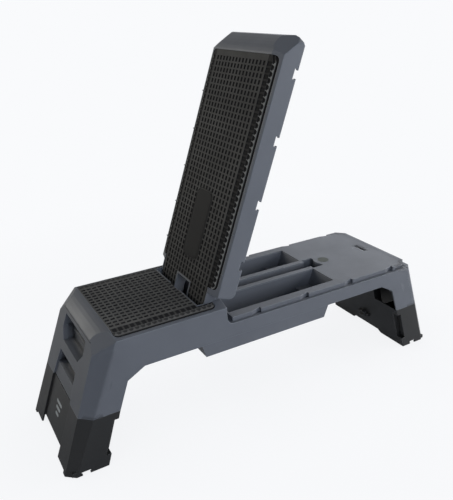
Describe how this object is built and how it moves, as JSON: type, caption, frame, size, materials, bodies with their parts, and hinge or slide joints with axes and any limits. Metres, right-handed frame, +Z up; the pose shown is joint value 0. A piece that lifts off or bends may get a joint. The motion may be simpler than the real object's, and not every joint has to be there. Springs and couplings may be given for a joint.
{
  "type": "aerobic step",
  "caption": "Folding exercise deck used as an aerobic step or a bench: studded top, hinged backrest with a prop, storage trays below it, and legs that lock upright or folded.",
  "frame": {"origin": "on the floor under the middle of the deck", "axes": "+X along the deck from the seat end to the end that the backrest closes on, +Y across the deck, +Z up"},
  "size_m": [1.0994, 0.3048, 0.8819],
  "materials": {
    "slate_polypropylene": "fine moulded grain",
    "black_polypropylene": "fine moulded grain",
    "black_rubber": "studded, matte",
    "slate_rubber": "matte",
    "zinc_plated_steel": "zinc plated"
  },
  "bodies": {
    "deck": {"deck_shell": "slate_polypropylene", "seat_pad": "black_rubber", "storage_tray": "slate_polypropylene", "tray_liner_front": "slate_polypropylene", "tray_liner_rear": "slate_polypropylene", "channel_liner": "slate_polypropylene", "belly_pan": "slate_polypropylene", "block_plug": "slate_rubber", "catch_keeper": "zinc_plated_steel", "keeper_screw_1": "zinc_plated_steel", "keeper_screw_2": "zinc_plated_steel", "prop_track": "black_polypropylene", "hinge_pin_front": "zinc_plated_steel", "hinge_pin_rear": "zinc_plated_steel", "near_leg_axle": "zinc_plated_steel", "far_leg_axle": "zinc_plated_steel", "near_index_disc": "zinc_plated_steel", "far_index_disc": "zinc_plated_steel", "pan_screw_1": "zinc_plated_steel", "pan_screw_2": "zinc_plated_steel", "pan_screw_3": "zinc_plated_steel", "pan_screw_4": "zinc_plated_steel"},
    "backrest": {"backrest_shell": "slate_polypropylene", "backrest_pad": "black_rubber", "backrest_catch": "black_polypropylene", "prop_pin": "zinc_plated_steel"},
    "prop": {"prop_arm": "black_polypropylene", "prop_foot": "zinc_plated_steel"},
    "near_leg": {"near_leg_shell": "black_polypropylene", "near_leg_cover": "black_polypropylene", "near_leg_foot_1": "black_rubber", "near_leg_foot_2": "black_rubber", "near_leg_foot_3": "black_rubber", "near_leg_foot_4": "black_rubber"},
    "near_knob": {"near_lock_knob": "black_polypropylene", "near_lock_crank": "zinc_plated_steel"},
    "near_bolt": {"near_lock_bolt": "zinc_plated_steel"},
    "far_leg": {"far_leg_shell": "black_polypropylene", "far_leg_cover": "black_polypropylene", "far_leg_foot_1": "black_rubber", "far_leg_foot_2": "black_rubber", "far_leg_foot_3": "black_rubber", "far_leg_foot_4": "black_rubber"},
    "far_knob": {"far_lock_knob": "black_polypropylene", "far_lock_crank": "zinc_plated_steel"},
    "far_bolt": {"far_lock_bolt": "zinc_plated_steel"}
  },
  "joints": [
    {"name": "backrest_hinge", "type": "hinge", "parent": "deck", "child": "backrest", "pos_m": [-0.1701, 0, 0.3026], "axis": [0, 1, 0], "range_deg": [0, 71.2]},
    {"name": "prop_swing", "type": "hinge", "parent": "backrest", "child": "prop", "pos_m": [-0.11058, 0, 0.46192], "axis": [0, 1, 0], "range_deg": [-129.6, 0]},
    {"name": "near_leg_fold", "type": "hinge", "parent": "deck", "child": "near_leg", "pos_m": [-0.41087, 0, 0.198], "axis": [0, -1, 0], "range_deg": [0, 109.76]},
    {"name": "near_knob_turn", "type": "hinge", "parent": "near_leg", "child": "near_knob", "pos_m": [-0.45477, 0, 0.05457], "axis": [0.9562, 0, -0.2926], "range_deg": [0, 90]},
    {"name": "near_bolt_slide", "type": "slide", "parent": "near_leg", "child": "near_bolt", "axis": [0.2926, 0, 0.9562], "range_m": [0, 0.006]},
    {"name": "far_leg_fold", "type": "hinge", "parent": "deck", "child": "far_leg", "pos_m": [0.41087, 0, 0.198], "axis": [0, 1, 0], "range_deg": [0, 109.76]},
    {"name": "far_knob_turn", "type": "hinge", "parent": "far_leg", "child": "far_knob", "pos_m": [0.45477, 0, 0.05457], "axis": [-0.9562, 0, -0.2926], "range_deg": [0, 90]},
    {"name": "far_bolt_slide", "type": "slide", "parent": "far_leg", "child": "far_bolt", "axis": [-0.2926, 0, 0.9562], "range_m": [0, 0.006]}
  ],
  "couplings": [
    {"joint": "prop_swing", "follows": "backrest_hinge", "ratio": -1.8182},
    {"joint": "near_knob_turn", "follows": "near_bolt_slide", "rad_per_m": 261.79},
    {"joint": "far_knob_turn", "follows": "far_bolt_slide", "rad_per_m": 261.79}
  ]
}
